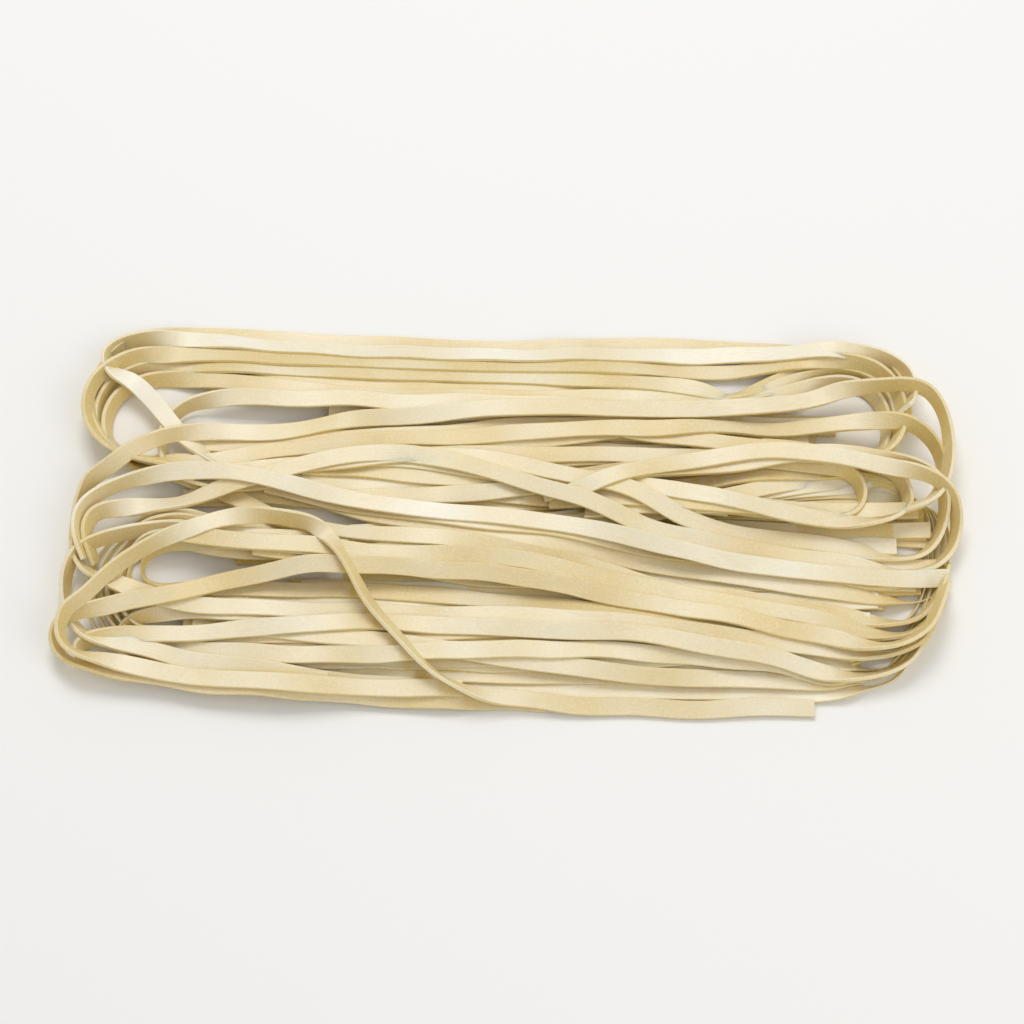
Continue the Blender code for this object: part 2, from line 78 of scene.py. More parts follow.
END_EASE = 0.12      # share of the reach over which a ribbon eases into it
END_EDGE = 0.9       # how far a ribbon stands on edge there
END_POINTS = 4       # route points that a ribbon gets there

# %% [markdown]
# ## How the ribbons are folded
# The hank is two flat coils that overlap along their middle. A route could be drawn point by point, but
# a folded ribbon is simpler than that: it runs along in x, turns back at a bend, and runs again. So each
# strand is a list of legs, from one x to another with a few y values between, and the x of each bend's
# tip. Strands are listed in the order in which they lie, from the bottom up.

# %% Strands from the bottom up
def near_outline(x, inset):
    """y of the near coil's rounded right end at an x, for a ribbon some way inside it."""
    t = (x-END_X)/(END_REACH-inset)
    return END_Y-(END_HALF-inset)*(1-t**END_POWER)**(1/END_POWER)


def round_the_end(y_from, inset, stop=0.97):
    """Leg along the near coil's right end, on edge, from where a run at y_from meets it."""
    meets = (1-((END_Y-y_from)/(END_HALF-inset))**END_POWER)**(1/END_POWER)
    x_from, x_to = END_X+(END_REACH-inset)*(meets+END_EASE), END_X+(END_REACH-inset)*stop
    ys = tuple(near_outline(x, inset) for x in np.linspace(x_from, x_to, END_POINTS))
    return (x_from, x_to, ys, -END_EDGE)


def strand_table():
    """Every strand from the bottom up: its name, how far it sinks on edge, its legs and its bends.

    A leg is (x from, x to, y values evenly spaced in x), and may end with its share on edge, which is
    negative where the right edge is up, as seen along the leg.
    A bare number is the x of a bend's tip.
    A strand named hidden carries the others and shows only in their gaps.
    """
    strands = []
    for k in range(ROWS):
        back_run = (9+1.2*k, 7-0.5*k, 1.5-1.4*k, -4-1.8*k, -7-1.9*k)
        inner_run = (-6.8-1.8*k, -7.2-1.9*k, -6-2*k, -3-2*k)
        near_run = (-46+2.2*k, -50.5+3*k, -51+3.8*k, -51+4.2*k, -50+4.6*k, -49+5.2*k)
        name = f"row_{k}" if k < ROWS-HIDDEN_ROWS else f"hidden_loop_{k}"
        strands.append(
            (name, LOOSE_SINK, (-54, -95, inner_run), -118.5+2.2*k, (-95, 93+4*k, near_run),
                round_the_end(-48+5.2*k, 1.4*k), END_X+END_REACH-1.4*k, (104-3*k, -46, back_run)))
    strands += [
        ("hidden_a", LOOSE_SINK, (-52, -95, (-12, -10)), -107.5,
            (-95, 103, (-29, -28.5, -29, -32, -34, -38, -42)), round_the_end(-41, 2, 0.9)),
        ("hidden_b", LOOSE_SINK, (-52, -95, (-14, -12)), -104,
            (-93, 106, (-25, -24.5, -25, -27, -30, -34, -38)), round_the_end(-37, 3.5, 0.9)),
        ("hidden_c", SINK, (60, -75, (17, 19, 17, 13, 9, 8))),
        ("hidden_d", LOOSE_SINK, (-75, 92, (-36.5, -39, -43, -46, -47, -47)), round_the_end(-46, 4, 0.9)),
        ("hidden_e", DEEP_SINK, (-60, 113, (4.5, -3, -8, -12, -16, -20, -22)),
            (119, 121.5, (-19, -14), -0.9)),
        ("hidden_f", DEEP_SINK, (-70, 110, (7, 0, -4, -7.5, -11, -14.5, -17.5)),
            (116.5, 119.5, (-15.5, -10), -0.9)),
        ("hidden_g", SINK, (-88, 50, (40, 39, 38.5, 39, 38))),
        ("hidden_h", SINK, (-92, 60, (19.5, 21, 24, 27.5, 29, 31))),
        ("hidden_i", LOOSE_SINK, (-72, 108, (-14.5, -17.5, -19, -21, -25, -30, -34)),
            round_the_end(-34, 2, 0.9)),
        ("hidden_j", LOOSE_SINK, (-60, -95, (-33, -32)), -109,
            (-95, 96, (-42, -44, -44, -42, -41, -41, -43, -46)), round_the_end(-46, 2, 0.8)),
        ("stub", SINK, (22, 11.5, (43, 56))),
        ("second_far", DEEP_SINK, (10, 98, (5, 9, 13, 16)), 108.5, (95, 62, (50, 46, 38)),
            (50, -98, (38, 36.5, 35.5, 36.5, 41)), -117, (-98, -65, (11, 4, -4)),
            (-50, 112, (-8, -10, -15, -22, -26, -28)), round_the_end(-27, 1, 0.97)),
        ("third_far", DEEP_SINK, (40, 98, (26.5, 22, 20)), 107.5, (92, 64, (48, 44, 37)),
            (50, -98, (40.5, 42.8, 43, 43.5, 44.5)), -119.5, (-98, 30, (14, 14, 17, 22, 27))),
        ("inner_far", SINK, (50, 98, (24, 18)), 106, (93, 66, (45.5, 35.5)),
            (50, -86, (34, 33.6, 34, 33.7, 33.5)), -100.5, (-90, 60, (7, 8, 7, 4, 2))),
        ("rim_far", SINK, (70, 98, (22, 20.5)), 112, (95, -100, (53.5, 56, 55.5, 54, 54, 54.8, 55)), -121,
            (-98, 75, (12.8, 14, 17, 18.5, 19, 18))),
        ("outer_far", SOFT_SINK, (30, 98, (26.5, 22, 18)), 110.5,
            (92, -98, (50.5, 48, 47, 46.5, 47, 47.5, 47.5)), -122.5,
            (-98, 100, (11.5, 16.5, 21, 23.7, 26, 27, 28.5, 30)), 121.5, (112, 25, (5, 3.5, 2, 1))),
        ("top_far", SINK, (109.5, 110.5, (31.5, 33), -0.9), 113.5,
            (94, -100, (53, 53, 51.5, 50.3, 50.5, 51.5, 53.5)), -118.5, (-110.5, -92, (38, 18.5)),
            (-84, -72, (12.5, 8.5))),
        ("long_loop", SOFT_SINK, (20, 112, (0, 1, 2, 3, 4)), 123, (110, 95, (41.5, 41)),
            (84, -97, (36.8, 33.4, 33, 32.3, 30.5, 28, 23, 20.5)), (-104, -115, (17, 8.5), -0.6), -123.3,
            (-113, 104, (-23.5, -30.5, -31.5, -31, -31, -31.5, -33, -35.5, -38, -40)),
            round_the_end(-40, 0, 0.8)),
        ("left_arc", SINK, (-50, -97, (-15, -13.5, -8)), -124.5, (-112, -16, (-41, -46, -49, -51, -52))),
        ("flat_low", DEEP_SINK, (-50, -112, (-51, -51, -47.5)), -120,
            (-112, 96, (-39.5, -38.5, -35.5, -34.5, -35.5, -36.5, -41, -46)),
            round_the_end(-45, 0, 0.85)),
        ("mid_low", DEEP_SINK, (-93, 110, (-10.5, -14.2, -15, -15, -16.5, -21, -26, -30.2, -33)),
            round_the_end(-33, 0, 0.93)),
        ("tip_loop", SOFT_SINK, (10, -112, (-54.5, -55, -54.5, -53.5, -49.5)), -126,
            (-112, 105, (-32, -25.5, -20, -19.2, -20, -24, -29, -34, -38.5)), round_the_end(-38, 0, 0.9)),
        ("small_ring", SINK, (-60, 87, (12, 11.5, 10, 10.5, 13, 16, 17, 15)), 98.5,
            (92, 10, (2, 1.5, 2, 3, 4))),
        ("ring", SINK, (-48, 97, (3, 4, 6, 10, 14, 17, 17.5, 17)), 111.5,
            (100, -50, (-1, 1, 4, 7.5, 11, 14.5, 15))),
        ("ring_wide", SINK, (8, 100, (5.5, 9, 12.5, 15, 17, 17.5)), 121.2, (110, 60, (-9.5, -6, -5)),
            (48, -10, (-2.5, 4, 9, 13, 16)), (-25, -80, (16.5, 13, 9))),
        ("ring_outer", SINK, (14, 104, (4, 10, 15, 17.5, 17, 14)), 124.7, (110, 48, (-14, -11.5, -9.5, -8)),
            (38, -20, (-6, 2.5, 9.5, 14.5)), (-32, -48, (16.3, 14.8)),
            (-60, -110, (12, 6, 0, -1.5)), (-117.5, -119.5, (-3.5, -9), -0.95),
            (-118.7, -116.5, (-13, -18), -0.95)),
        ("wide_top", SINK, (-119, -120.5, (-17.5, -14.5), 0.95), (-122, -120, (-7, -1), 0.95),
            (-110, 110, (5.5, 8.7, 6, 1.8, -1.5, -3.8, -6.7, -11, -13.8, -16.5, -16.7)),
            (121, 122, (-15, -15), 0.6)),
        ("stray", SOFT_SINK, (-13, -112, (-52, -53, -53, -51.5, -48)), -124,
            (-120, -99, (-32, -20.5, -12.8), 0.85), (-89, -80, (-9.2, -6.5)),
            (-70, -58, (-5, -7), 0.3), (-53, -44, (-10.5, -22.5), -0.9),
            (-40, -22, (-29, -39.5, -48.5), -0.85), (-10, 84, (-53.5, -54.8, -55.3, -55, -54))),
    ]
    return strands


print("strands to lay", len(strand_table()))

# %% [markdown]
# ## From legs to a smooth route
# The legs and bends give route points. A Catmull-Rom curve passes through all of them without the
# overshoot that a free curve shows at tight bends, and samples 1 mm apart make every later step simple.

# %% Route points of a strand
def route_points(parts):
    """Points along one strand, its share on edge at each, and which points are the middles of bends."""
    points, edges, bends = [], [], []
    for i, part in enumerate(parts):
        if isinstance(part, tuple):
            x_from, x_to, ys = part[:3]
            points += list(zip(np.linspace(x_from, x_to, len(ys)), ys))
            edges += [part[3] if len(part) > 3 else 0.0]*len(ys)
        else:
            x_in, y_in = points[-1]
            x_out, _, y_outs = parts[i+1][:3]
            for degrees in BEND_DEGREES:
                s, c = math.sin(math.radians(degrees)), math.cos(math.radians(degrees))
                x_root = (x_in+x_out)/2+(x_in-x_out)/2*s
                y = (y_in+y_outs[0])/2+(y_in-y_outs[0])/2*s
                points.append((x_root+(part-x_root)*c**BLUNT, y))
                edges.append(0.0)
            bends.append(len(points)-1-len(BEND_DEGREES)//2)
    return np.array(points, float), edges, bends


# %% A curve through them
KNOT_STEPS = 40      # curve samples between two route points, before they are spaced evenly
TAIL = 3             # how many smoothing lengths the smoothing looks to each side


def smooth(values, length):
    """Gaussian smoothing along a strand that leaves its two ends in place."""
    v = np.asarray(values, float)
    n = min(len(v)-1, max(1, int(TAIL*length/STEP)))
    kernel = np.exp(-0.5*(np.arange(-n, n+1)*STEP/length)**2)
    kernel /= kernel.sum()
    padded = np.concatenate([2*v[0]-v[n:0:-1], v, 2*v[-1]-v[-2:-n-2:-1]])
    return np.convolve(padded, kernel, "valid")


def curve_through(knots):
    """Catmull-Rom curve through the knots, sampled every STEP, and the sample number of each knot."""
    p = np.vstack([2*knots[0]-knots[1], knots, 2*knots[-1]-knots[-2]])
    pieces = []
    for i in range(1, len(p)-2):
        t = [0.0]
        for a, b in zip(p[i-1:i+2], p[i:i+3]):
            t.append(t[-1]+math.sqrt(max(1e-6, np.linalg.norm(b-a))))
        u = np.linspace(t[1], t[2], KNOT_STEPS, endpoint=False)[:, None]
        a1 = ((t[1]-u)*p[i-1]+(u-t[0])*p[i])/(t[1]-t[0])
        a2 = ((t[2]-u)*p[i]+(u-t[1])*p[i+1])/(t[2]-t[1])
        a3 = ((t[3]-u)*p[i+1]+(u-t[2])*p[i+2])/(t[3]-t[2])
        b1 = ((t[2]-u)*a1+(u-t[0])*a2)/(t[2]-t[0])
        b2 = ((t[3]-u)*a2+(u-t[1])*a3)/(t[3]-t[1])
        pieces.append(((t[2]-u)*b1+(u-t[1])*b2)/(t[2]-t[1]))
    q = np.vstack(pieces+[p[-2][None]])
    run = np.concatenate([[0], np.cumsum(np.linalg.norm(np.diff(q, axis=0), axis=1))])
    count = int(round(run[-1]/STEP))
    even = np.linspace(0, run[-1], count+1)
    xy = np.stack([np.interp(even, run, q[:, 0]), np.interp(even, run, q[:, 1])], 1)
    return xy, np.round(run[::KNOT_STEPS]/run[-1]*count).astype(int)


# %% [markdown]
# ## Laying the ribbons on each other
# A simulation of some thirty stiff ribbons would be slow and hard to steer. Laying them one at a time is
# enough: a map of heights, seen from above, holds the top of everything laid so far, and each new ribbon
# comes to rest on the highest places under it, bending down between them no more sharply than a dry
# ribbon could. Where it turns back it stands on edge, leans outwards, and slips down between its neighbours.

# %% Height map of the pile
CELL = 0.5           # spacing of the map
MAP_X = 136.0        # half length of the map
MAP_Y = 66.0         # half width of the map
ACROSS = 11          # places looked at under half a ribbon
MARKED = 15          # places raised across a ribbon that has been laid
LEAN_MOST = 1.25     # a steeper face than this, in radians, is raised as if it leaned this much
BED_LENGTH = 104.0   # half length of the bottom layers, which are laid apart
BED_WIDTH = 46.0     # their half width
BED_HEIGHT = 3.4     # their height
BED_EDGE = 0.08      # share of their size that slopes at the outline
BED_POWER = 4        # roundness of the outline, 2 being an ellipse


def bed(x, y):
    """Height of the bottom layers at a place."""
    out = ((x/BED_LENGTH)**BED_POWER+(y/BED_WIDTH)**BED_POWER)**(1/BED_POWER)
    return BED_HEIGHT*np.clip((1-out)/BED_EDGE, 0, 1)


class Pile:
    """Height of everything laid so far, on a grid seen from above."""

    def __init__(self):
        x = np.arange(-MAP_X, MAP_X, CELL)+CELL/2
        y = np.arange(-MAP_Y, MAP_Y, CELL)+CELL/2
        self.height = bed(*np.meshgrid(x, y, indexing="ij"))

    def cells(self, at):
        """Numbers of the cells in which some places lie."""
        i = np.clip(((at[..., 0]+MAP_X)/CELL).astype(int), 0, self.height.shape[0]-1)
        j = np.clip(((at[..., 1]+MAP_Y)/CELL).astype(int), 0, self.height.shape[1]-1)
        return i, j

    def highest(self, xy, side, low, high):
        """Highest place under each sample, between two distances sideways."""
        across = low[:, None]+(high-low)[:, None]*np.linspace(0, 1, ACROSS)
        return self.height[self.cells(xy[:, None, :]+across[..., None]*side[:, None, :])].max(1)

    def add(self, xy, side, roll, z):
        """Raises the map to the top of a ribbon."""
        whole = np.arange(len(xy))
        fine = np.arange(0, len(xy)-1, CELL/STEP)
        at = np.stack([np.interp(fine, whole, xy[:, 0]), np.interp(fine, whole, xy[:, 1])], 1)
        out = np.stack([np.interp(fine, whole, side[:, 0]), np.interp(fine, whole, side[:, 1])], 1)
        turn, mid = np.interp(fine, whole, roll), np.interp(fine, whole, z)
        reach = WIDTH/2*abs(np.cos(turn))+THICK/2*abs(np.sin(turn))
        across = reach[:, None]*np.linspace(-1, 1, MARKED)
        lean = np.clip(turn, -LEAN_MOST, LEAN_MOST)
        face = mid[:, None]+across*np.tan(lean)[:, None]+(THICK/2/np.cos(lean))[:, None]
        ridge = mid+WIDTH/2*abs(np.sin(turn))+THICK/2*abs(np.cos(turn))
        top = np.minimum(face, ridge[:, None])-PRESS
        np.maximum.at(self.height, self.cells(at[:, None, :]+across[..., None]*out[:, None, :]), top)


# %% One ribbon comes to rest
SOFT_ROUTE = 2.0     # smoothing length of the route
SOFT_HEADING = 2.5   # smoothing length of its heading
SOFT_TILT = 5.0      # smoothing length of the lean
SOFT_HEIGHT = 4.0    # smoothing length of the height
EDGE_GAIN = 50.0     # how much a curvature of 1/mm turns a ribbon on edge, before its range is cut to 0 to 1
EDGE_FREE = 0.6      # share of that which a ribbon bends flat without turning
EDGE_SPREAD = 6.0    # length over which the turning spreads along a ribbon
EDGE_SWELL = 1.25    # makes up for what the spreading takes off its peak
SINK_SOON = 2.5      # how soon a ribbon that turns on edge has slipped down fully
TILT_MOST = 0.4      # how far a flat ribbon leans on uneven ones, in radians
BEND_SETTLE = 12.0   # length over which a ribbon comes down after a bend
OVERLAP = 0.1        # share of its half width by which each half of a ribbon looks past the middle


def drape(support):
    """Lowest line over the supports that nowhere bends down more sharply than SAG."""
    s = np.arange(len(support))*STEP
    dip = 0.5*SAG*(s-s.mean())**2
    hull = []
    for x, y in zip(s, support-dip):
        while len(hull) > 1:
            (x_1, y_1), (x_2, y_2) = hull[-2:]
            if (x_2-x_1)*(y-y_1) < (y_2-y_1)*(x-x_1):
                break
            hull.pop()
        hull.append((x, y))
    hull = np.array(hull)
    return np.interp(s, hull[:, 0], hull[:, 1])+dip


def edge_share(xy, heading, marks, edges):
    """How far a ribbon stands on edge along its route, from 0 flat to 1, or to -1 with its right edge up."""
    turning = np.gradient(smooth(heading, SOFT_HEADING))/STEP
    share = np.clip(EDGE_GAIN*abs(turning)-EDGE_FREE, 0, 1)*-np.sign(turning)
    share = np.clip(EDGE_SWELL*smooth(share, EDGE_SPREAD), -1, 1)
    share = share*abs(share)*(3-2*abs(share))   # eases in and out
    given = np.interp(np.arange(len(xy)), marks, edges)
    return smooth(np.where(abs(given) > abs(share), given, share), SOFT_HEIGHT)


def lay(pile, sink, parts):
    """Lays one strand on the pile: returns its points, heights, rolls and sideways directions."""
    knots, edges, bends = route_points(parts)
    xy, marks = curve_through(knots)
    xy = np.stack([smooth(xy[:, 0], SOFT_ROUTE), smooth(xy[:, 1], SOFT_ROUTE)], 1)
    ahead = np.gradient(xy, axis=0)
    ahead /= np.linalg.norm(ahead, axis=1)[:, None]
    side = np.stack([-ahead[:, 1], ahead[:, 0]], 1)
    edge = edge_share(xy, np.unwrap(np.arctan2(ahead[:, 1], ahead[:, 0])), marks, edges)
    roll = edge*math.radians(EDGE_ROLL)
    z = np.zeros(len(xy))
    cuts = [0]+[int(marks[b]) for b in bends]+[len(xy)-1]
    for a, b in zip(cuts[:-1], cuts[1:]):
        part = slice(a, b+1)
        c, s = np.cos(roll[part]), abs(np.sin(roll[part]))
        reach = WIDTH/2*c+THICK/2*s
        up = WIDTH/2*s+THICK/2*c
        left = pile.highest(xy[part], side[part], -OVERLAP*reach, reach)
        right = pile.highest(xy[part], side[part], -reach, OVERLAP*reach)
        low = bed(xy[part, 0], xy[part, 1])
        both = np.maximum(left, right)*(1-c*c)
        slip = sink*np.clip(SINK_SOON*abs(edge[part]), 0, 1)
        left = drape(np.maximum(both+left*c*c-slip, low)+up)
        right = drape(np.maximum(both+right*c*c-slip, low)+up)
        tilt = np.clip(np.arctan2(left-right, WIDTH), -TILT_MOST, TILT_MOST)*c*c
        mid = np.maximum(left, right)-abs(np.tan(tilt))*WIDTH/2
        if a:
            step_down = max(0.0, z[a]-mid[0])
            mid = mid+step_down*np.exp(-(np.arange(len(mid))*STEP/BEND_SETTLE)**2)
        z[part] = mid
        roll[part] += smooth(tilt, SOFT_TILT)
        pile.add(xy[part], side[part], roll[part], z[part])
    return xy, smooth(z, SOFT_HEIGHT), roll, side


# %% Lay them all
FLAT_ROLL = 0.6      # a ribbon that leans less than this, in radians, counts as flat


def lay_all(pile, flats):
    """Every ribbon: its name, the points along its middle, and its directions across and out of its face.

    The map flats gets the ribbons that lie flat. Where one stands on edge it counts as lying on the table.
    """
    ribbons = []
    for name, sink, *parts in strand_table():
        xy, z, roll, flat_side = lay(pile, sink, parts)
        flats.add(xy, flat_side, roll, np.where(abs(roll) < FLAT_ROLL, z, 0.0))
        points = np.column_stack([xy, z])
        ahead = np.gradient(points, axis=0)
        ahead /= np.linalg.norm(ahead, axis=1)[:, None]
        flat = np.column_stack([flat_side, np.zeros(len(xy))])
        up = np.cross(ahead, flat)
        up /= np.linalg.norm(up, axis=1)[:, None]
        c, s = np.cos(roll)[:, None], np.sin(roll)[:, None]
        side, normal = c*flat+s*up, c*up-s*flat
        ribbons.append((name, points, side, normal))
    return ribbons


pile, flats = Pile(), Pile()
ribbons = lay_all(pile, flats)
print("laid in m", round(sum(len(r[1]) for r in ribbons)*STEP*MM, 2))
print("highest in mm", round(pile.height.max(), 1))

# %% [markdown]
# ## Giving way
# A ribbon on edge slips down between others, and its upper edge could come out through the face of a flat
# one. A real ribbon would give way there, so its section is made smaller and lower until it fits
# underneath. This is done to the ribbons that were laid first, below the others.

# %% Ribbons on edge that give way
GIVING = ("row_", "hidden")   # strands that give way to those above
EDGE_RISE = 1.3      # a ribbon that stands this far above its middle counts as on edge
NARROWEST = 0.3      # share of its section that a ribbon keeps
SOFT_GIVE = 2.5      # smoothing length


def give_way(points, side):
    """Points of a ribbon lowered where it passes on edge below a flat one, and the size of its section."""
    rise = WIDTH/2*abs(side[:, 2])
    crest = points+side*(WIDTH/2*np.sign(side[:, 2]))[:, None]
    room = flats.height[flats.cells(crest[:, :2])]-THICK-(points[:, 2]-rise)
    pokes = (rise > EDGE_RISE) & (2*rise > room) & (room > 0)
    fit = np.where(pokes, np.clip(room/(2*np.maximum(rise, EDGE_RISE)), NARROWEST, 1), 1.0)
    fit = np.minimum(smooth(fit, SOFT_GIVE), 1)
    lowered = points.copy()
    lowered[:, 2] -= rise*(1-fit)
    return lowered, fit


# %% [markdown]
# ## The bottom layers
# Under the ribbons that show, the hank has about three more layers, which show only as shaded strips in
# the gaps. They lie flat and almost straight, so they are laid as rows at fixed heights. A row ends
# where the real hank can be seen through, so that its gaps stay open down to the table.

# %% Rows of the bottom layers
LAYERS = 3
ROW_WOBBLE = 0.7     # how far a row strays sideways
ROW_WAVE = (16, 28)  # range of its wave's length, in mm per radian
ROW_SHIFT = 0.5      # how far a whole row may lie aside
ROW_SHORTER = 6      # how much shorter a row may be at each end
# y of a row, and the x where it starts and ends
LOW_ROWS = (
    (-44, -62, 86), (-38.8, -84, 96), (-33.6, -92, 99), (-28.4, -94, 103), (-22.6, -62, 108),
    (-17.2, -50, 119), (-12.4, -78, 122), (-7, -36, 110), (-1.6, -32, 122), (4.6, -94, 118),
    (10, -92, 106), (15.2, -90, -26), (15.2, -2, 96), (20.6, -52, -26), (20.6, -1, 88), (26, -50, 88),
    (31.8, -58, 94), (37, -80, 52), (43, -74, 40),
)


def low_ribbons(rng):
    """Flat rows in level layers, each a little off the one below."""
    rows = []
    for layer in range(LAYERS):
        for number, (y, x_from, x_to) in enumerate(LOW_ROWS):
            shift, phase = rng.uniform(-ROW_SHIFT, ROW_SHIFT), rng.uniform(0, 2*math.pi)
            x = np.arange(x_from+rng.uniform(0, ROW_SHORTER), x_to-rng.uniform(0, ROW_SHORTER), STEP)
            wave = ROW_WOBBLE*np.sin(x/rng.uniform(*ROW_WAVE)+phase)
            points = np.column_stack([x, y+shift+wave, np.full(len(x), THICK/2+layer*(THICK-PRESS))])
            normal = np.tile((0.0, 0.0, 1.0), (len(x), 1))
            side = np.tile((0.0, 1.0, 0.0), (len(x), 1))
            rows.append((f"low_{layer}_{number}", points, side, normal))
    return rows


rng = np.random.default_rng(11)   # one source of chance, so that every run draws the same hank
rows = low_ribbons(rng)
print("bottom layers in m", round(sum(len(r[1]) for r in rows)*STEP*MM, 2))

# %% [markdown]
# ## Life in the ribbons
# Drying dough shrinks unevenly, so a ribbon is never quite straight, flat or even in width. A few slow
# waves of random length give each ribbon its own drift, twist and width. They are small beside the
# thickness, so that the ribbons still lie on each other.

# %% Uneven ribbons
DRIFT = 0.35         # sideways, in mm
LIFT = 0.08          # up and down, in mm
TWIST = 3.5          # in degrees
SWELL = 0.035        # share of the section
SHORT_WAVE, LONG_WAVE = 22, 95   # range of the waves' lengths, in mm


def slow_wave(s, rng):
    """A sum of three slow waves along s, about -1 to 1."""
    lengths, phases = rng.uniform(SHORT_WAVE, LONG_WAVE, 3), rng.uniform(0, 2*math.pi, 3)
    return sum(np.sin(2*math.pi*s/a+b) for a, b in zip(lengths, phases))/2


def enliven(points, side, normal, rng):
    """The same ribbon with small waves: its points, the way its width runs, and the size of its section."""
    s = np.arange(len(points))*STEP
    twist = math.radians(TWIST)*slow_wave(s, rng)[:, None]
    points = points+DRIFT*slow_wave(s, rng)[:, None]*side+LIFT*slow_wave(s, rng)[:, None]*normal
    wide = np.cos(twist)*side-np.sin(twist)*normal
    return points, wide, 1+SWELL*slow_wave(s, rng)


# %% [markdown]
# ## A node tree that makes ribbons
# Each ribbon starts as a bare line of edges that carries the way its width runs, and its tone. A
# node tree sweeps the ribbon's cut end along these lines: a rectangle with rounded corners, slightly
# cupped as drying leaves it. One tree makes every ribbon, so a change of its inputs changes the hank.

# %% Functions that add nodes
def add_node(tree, kind, inputs=None, **settings):
    """Adds a node, sets its properties, and fills its inputs with values or links."""
    node = tree.nodes.new(kind)
    for name, value in settings.items():
        setattr(node, name, value)
    for key, value in (inputs or {}).items():
        if isinstance(value, bpy.types.NodeSocket):
            tree.links.new(value, node.inputs[key])
        else:
            node.inputs[key].default_value = value
    return node


def maths(tree, operation, *values, **settings):
    """Output of a Math node on two or three values or links."""
    node = add_node(tree, "ShaderNodeMath", dict(enumerate(values)), operation=operation, **settings)
    return node.outputs[0]


def blend(tree, share, colour, other):
    """Output of a node that mixes a share of another colour into a colour."""
    return add_node(tree, "ShaderNodeMix", {0: share, 6: colour, 7: other}, data_type="RGBA").outputs[2]


def patches(tree, place, size, detail):
    """Output of a Noise Texture whose patches have a size in mm."""
    return add_node(tree, "ShaderNodeTexNoise",
                    {"Vector": place, "Scale": 1/(size*MM), "Detail": detail}).outputs[0]


def mapped(tree, value, before, after):
    """Output of a Map Range node that takes one range of values to another."""
    return add_node(tree, "ShaderNodeMapRange",
                    {"Value": value, "From Min": before[0], "From Max": before[1],
                     "To Min": after[0], "To Max": after[1]}).outputs[0]


